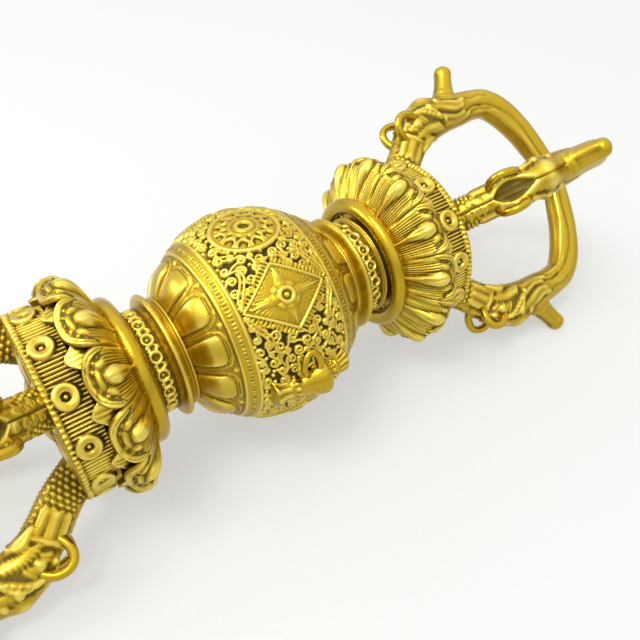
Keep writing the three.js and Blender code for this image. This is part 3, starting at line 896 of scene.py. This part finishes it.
class VAJRA_OT_crowns(bpy.types.Operator):
    """Models the leaf crowns, the small fans between the leaves, the ribbed bands and the end faces"""
    bl_idname = "vajra.crowns"
    bl_label = "Leaf crowns and bands"

    def execute(self, context):
        self.leaves()
        self.fans()
        self.bands()
        self.end_faces()
        return {"FINISHED"}

    def leaves(self):
        """The leaves; their last rows turn round the edge and run back underneath."""
        line, run = spread_evenly(spline(CROWN_LINE, 12), 400)
        scale = run[-1] / LEAF_RUN
        angle = around(LEAVES * 56)
        share = sector_share(angle, LEAVES)
        edge = (11.0 + 6.4 * clamp(1 - share ** 2) ** 0.5) * scale
        top, under = 50, [(0.4, -0.12), (0.9, 0.15), (1.5, 1.2), (2.4, 3.5)]
        places = np.append(np.linspace(0, 1, top) ** 0.93, [1.0] * 4)[:, None] * edge
        height, hollow = leaf_height(places / scale, np.broadcast_to(share, places.shape))
        down, back = np.array([(0.0, 0.0)] * top + under).T[:, :, None]
        height = height - down
        x, r = laid_along(line, run, places, height, back)
        # Painted shade on the rows that turn under the leaf's edge
        painted_shade = np.outer([0.1, 0.4, 0.6, 0.6], np.ones(len(angle)))
        dark = clamp(np.concatenate([hollows(height[:top], 3, 0.5), painted_shade]) + 0.3 * hollow, -1, 1)
        at_both_ends(closed_piece("crown_right", place_round(x, r, angle), dark, SATIN))

    def fans(self):
        """The small fans; their last rows turn underneath."""
        line, run = spread_evenly(spline(FAN_LINE, 12), 200)
        angle = around(LEAVES * 24)
        share = sector_share(angle + math.pi / LEAVES, LEAVES)
        edge = 5.5 + (run[-1] - 5.5) * clamp(1 - (np.abs(share) / 0.62) ** 1.5) ** 0.8
        top = 24
        places = np.append(np.linspace(0, 1, top), [1.0] * 3)[:, None] * edge
        ribs = 0.18 * np.cos(share * 2 * math.pi / 0.14) * (np.abs(share) < 0.62)
        height = (ribs + 0.5 * bump(share, 0, 0.65)) * ease(places, 1, 4)
        height[top:] -= [[0.5], [1.2], [2.6]]
        x, r = laid_along(line, run, places, height)
        dark = hollows(height, 2, 0.3)
        # Painted shade on the rows that turn underneath
        dark[top:] = 0.6
        at_both_ends(closed_piece("fans_right", place_round(x, r, angle), dark, SATIN))

    def bands(self):
        """The ribbed bands with a rosette under each leaf and a beaded rim."""
        ribs = 12
        relief = Relief(np.linspace(*BAND_AT, 32), LEAVES * ribs * 5, 2 * math.pi * BAND_RADIUS)
        x, q = relief.grid()
        sector = relief.girth / LEAVES
        height = 0.34 * np.cos(q / sector * 2 * math.pi * ribs) * ease(x, 59.5, 59.1) - 0.05
        far = np.hypot(x - 56.4, (q % sector) - sector / 2)
        rosette = 0.65 + 0.42 * bump(far, 2.35, 0.75) + 0.16 * bump(far, 1.45, 0.25)
        rosette = np.where(far < 1.15, -0.45 + 0.8 * bump(far, 0, 0.7), rosette)
        height = np.where(far < 3.2, rosette, height)
        # The slow waves make the beads uneven, as on the casting
        bead = np.cos(q / sector * 2 * math.pi * 9) + 0.35 * np.sin(q * 0.7) * np.sin(q * 0.31)
        rim = 0.15 + 0.3 * bump(x, 60.4, 0.9) + 0.5 * bump(x, 60.0, 0.85) * ease(bead, -0.3, 0.8)
        height = np.where((x > 59.3) & (far > 3.1), rim, height)
        # Painted shade lies thickest under the leaf tips
        dark = clamp(hollows(height, 2, 0.45) + 0.35 * ease(x, 54.6, 52.8) * (far > 3.1), -1, 1)
        points = place_round(x, BAND_RADIUS + height, around(relief.columns))
        at_both_ends(closed_piece("band_right", points, dark, CARVED))

    def end_faces(self):
        """A flat ring, a circle of petals, and a boss round the centre prong."""
        radii, angle = np.meshgrid(np.linspace(24.2, 0.6, 36), around(LEAVES * 18), indexing="ij")
        petal = np.abs(np.cos(angle * LEAVES / 2))
        height = 0.5 * bump(radii, 22.6, 0.7) + 3.2 * np.sqrt(clamp(1 - (radii / 9.2) ** 2))
        inside = clamp((9.5 + 10.0 * petal ** 0.6 - radii) / 2.2)
        height += np.sqrt(inside) * (radii > 9) * (0.4 + 0.6 * petal)
        points = place_round(BAND_AT[1] - 0.2 + height, radii, angle)
        back = place_round(BAND_AT[1] - 1.5 + 0 * angle[:1], radii[:1], angle[:1])
        dark = hollows(height, 3, 0.6)
        skin, dark = np.concatenate([back, points]), np.concatenate([dark[:1], dark])
        at_both_ends(closed_piece("end_face_right", skin, dark, CARVED))


class VAJRA_OT_prongs(bpy.types.Operator):
    """Models the makara-headed outer prongs with their horns and wire loops"""
    bl_idname = "vajra.prongs"
    bl_label = "Outer prongs"

    def execute(self, context):
        count = context.scene.vajra_sizes.prongs
        body = swept(PRONG_STATIONS, 214, 82, makara_relief, dense=0.6)
        horn = swept(HORN_STATIONS, 34, 28, horn_relief)
        patterns = {"prong": closed_piece("prong_pattern", *body, SATIN),
                    "horn": closed_piece("horn_pattern", *horn, SATIN)}
        for label, side in (("loop_a", 1), ("loop_b", -1)):
            path = [on_near_side(x, out, side * aside) for x, out, aside in LOOP_PATH]
            patterns[label] = closed_piece(f"{label}_pattern", *tube(path, LOOP_SIZES, 36), BUFFED)
        for end, other in (("right", False), ("left", True)):
            for i in range(count):
                turn = about_shaft((i + 0.5) * 360 / count, other)
                for label, pattern in patterns.items():
                    turned_copy(pattern, f"{label}_{end}_{i + 1}", turn)
        for pattern in patterns.values():
            bpy.data.objects.remove(pattern)
        return {"FINISHED"}


class VAJRA_OT_centre_prongs(bpy.types.Operator):
    """Models the slender centre prongs, each ending in a pointed bud"""
    bl_idname = "vajra.centre_prongs"
    bl_label = "Centre prongs"

    def execute(self, context):
        bud = context.scene.vajra_sizes.bud_radius / MM
        tip = [(130.3, bud), (133.6, bud * 0.84), (135.8, bud * 0.5), (136.7, 0.3)]
        line = spread_evenly(spline(CENTRE_STEM + tip, 8), 96)[0]
        s, t = np.meshgrid(line[:, 0], around(36), indexing="ij")
        height = 0.16 * np.cos(8 * t) * ease(s, 124, 128) * ease(s, 137, 133)
        x, r = offset_profile(line, height)
        points = place_round(x, np.maximum(r, 0.02), t)
        at_both_ends(closed_piece("centre_prong_right", points, hollows(height, 2, 0.3), SATIN))
        return {"FINISHED"}


class VAJRA_OT_stage(bpy.types.Operator):
    """Sets the pale floor, the soft studio light and the camera at the photograph's angle"""
    bl_idname = "vajra.stage"
    bl_label = "Stage"

    def execute(self, context):
        sizes = context.scene.vajra_sizes
        card = bmesh.new()
        bmesh.ops.create_grid(card, x_segments=1, y_segments=1, size=sizes.floor_side / 2)
        mesh = bpy.data.meshes.new("floor")
        card.to_mesh(mesh)
        card.free()
        floor = bpy.data.objects.new("floor", mesh)
        context.scene.collection.objects.link(floor)
        mesh.materials.append(floor_finish(sizes.floor_colour))
        for name, lamp in LAMPS.items():
            self.light(context, name, *lamp)
        self.sky(context)
        self.camera(context)
        context.scene.view_settings.view_transform = "Standard"
        return {"FINISHED"}

    def light(self, context, name, place, width, height, power, colour):
        """A soft box aimed at the vajra's middle."""
        lamp = bpy.data.lights.new(name, "AREA")
        lamp.shape, lamp.size, lamp.size_y = "RECTANGLE", width, height
        lamp.energy, lamp.color = power, colour
        made = bpy.data.objects.new(name, lamp)
        context.scene.collection.objects.link(made)
        aim = Vector((0, 0, SHAFT_HEIGHT * MM)) - Vector(place)
        made.location = place
        made.rotation_euler = aim.to_track_quat("-Z", "Y").to_euler()

    def sky(self, context):
        """White surroundings, brighter overhead."""
        world = bpy.data.worlds.new("Studio")
        context.scene.world = world
        tree = empty_tree(world)
        way = add_node(tree, "ShaderNodeTexCoord").outputs["Generated"]
        upward = add_node(tree, "ShaderNodeSeparateXYZ", Vector=way).outputs[2]
        strength = ranged(tree, upward, -0.1, 0.8, 0.68, 1.4)
        light = add_node(tree, "ShaderNodeBackground", Color=(1.0, 1.0, 1.0, 1.0), Strength=strength)
        add_node(tree, "ShaderNodeOutputWorld", Surface=light.outputs[0])

    def camera(self, context):
        """The camera that was fitted to the photograph."""
        data = bpy.data.cameras.new("Photo")
        data.sensor_width = 36.0
        data.lens = PHOTO_FOCUS / PHOTO_SIDE * data.sensor_width
        data.clip_start, data.clip_end = 0.005, 20.0
        camera = bpy.data.objects.new("Photo", data)
        place = Vector(CAMERA_PLACE) + Vector((0, 0, SHAFT_HEIGHT * MM))
        camera.matrix_world = Matrix.Translation(place) @ Matrix(CAMERA_AXES).transposed().to_4x4()
        context.scene.collection.objects.link(camera)
        context.scene.camera = camera


OPERATORS = (VAJRA_OT_globe, VAJRA_OT_necks, VAJRA_OT_crowns, VAJRA_OT_prongs, VAJRA_OT_centre_prongs,
             VAJRA_OT_stage)


class VAJRA_PT_sidebar(bpy.types.Panel):
    """Lists the vajra's sizes and the operators that model it"""
    bl_label = "Vajra"
    bl_idname = "VAJRA_PT_sidebar"
    bl_space_type = "VIEW_3D"
    bl_region_type = "UI"
    bl_category = "Vajra"

    def draw(self, context):
        sizes = context.scene.vajra_sizes
        for name in VajraSizes.__annotations__:
            self.layout.prop(sizes, name)
        for operator in OPERATORS:
            self.layout.operator(operator.bl_idname)


CLASSES = (VajraSizes,) + OPERATORS + (VAJRA_PT_sidebar,)


def register():
    for cls in CLASSES:
        bpy.utils.register_class(cls)
    bpy.types.Scene.vajra_sizes = PointerProperty(type=VajraSizes)


def unregister():
    del bpy.types.Scene.vajra_sizes
    for cls in reversed(CLASSES):
        bpy.utils.unregister_class(cls)


def main():
    register()
    bpy.ops.vajra.globe()
    bpy.ops.vajra.necks()
    bpy.ops.vajra.crowns()
    bpy.ops.vajra.prongs()
    bpy.ops.vajra.centre_prongs()
    bpy.ops.vajra.stage()


if __name__ == "__main__":
    main()
